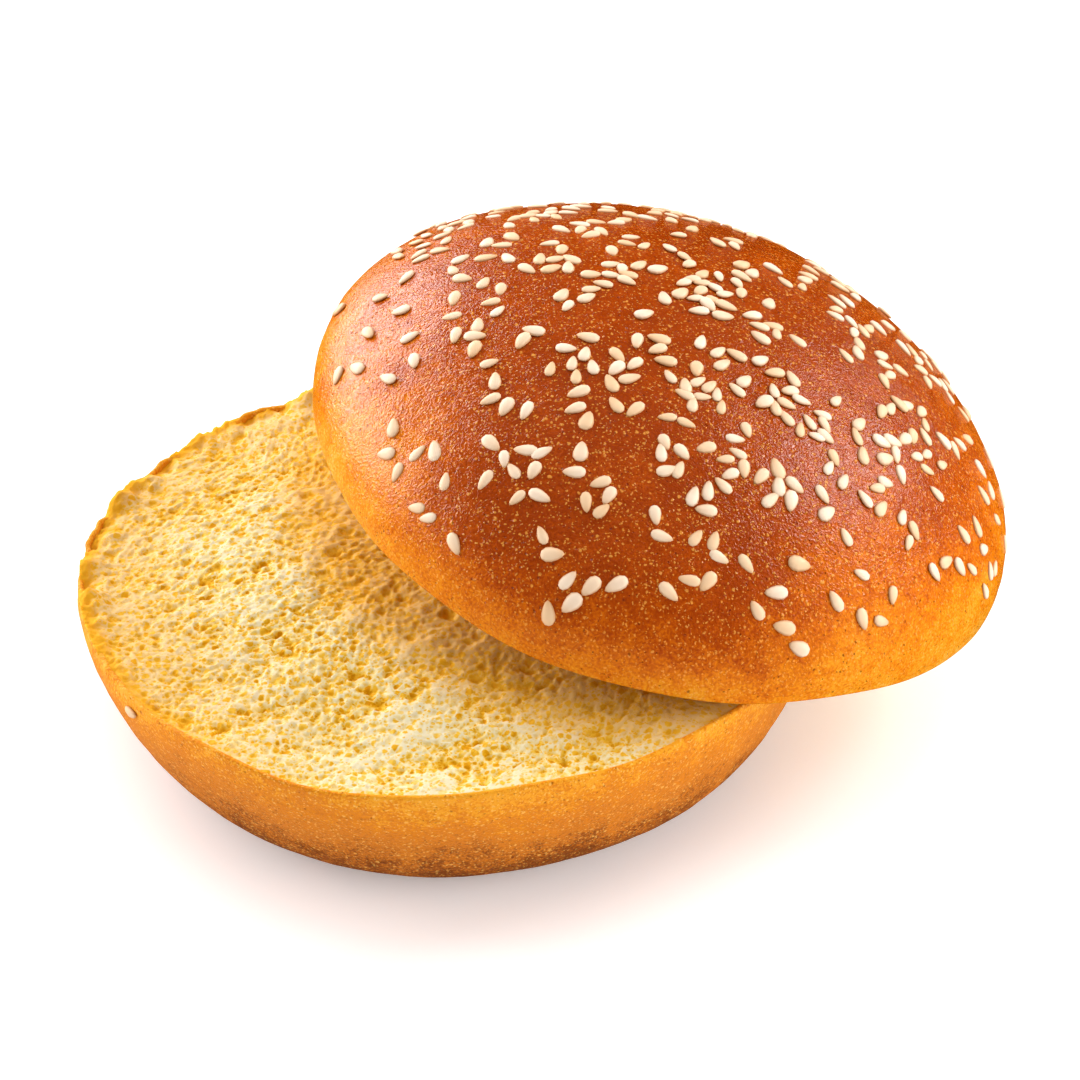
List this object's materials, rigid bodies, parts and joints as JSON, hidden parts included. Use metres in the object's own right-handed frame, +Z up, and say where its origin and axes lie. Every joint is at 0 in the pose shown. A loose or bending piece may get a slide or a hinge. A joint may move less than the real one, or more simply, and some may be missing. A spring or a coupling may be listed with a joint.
{
  "type": "bread roll",
  "caption": "Round soft bread roll sliced level and left open: flat-based bottom half with its crumb up, sesame-topped domed half tipped on it.",
  "frame": {"origin": "on the surface that the roll lies on, below the middle of the two halves' box", "axes": "+Z up, +X towards the side where the top half hangs over the bottom half's rim, +Y towards the back"},
  "size_m": [0.1368, 0.1267, 0.0609],
  "materials": {
    "bottom_crust": "matte baked crust and open crumb",
    "top_crust": "egg-washed satin crust"
  },
  "bodies": {
    "root": {"bottom_half": "bottom_crust", "top_half": "top_crust"}
  },
  "joints": []
}
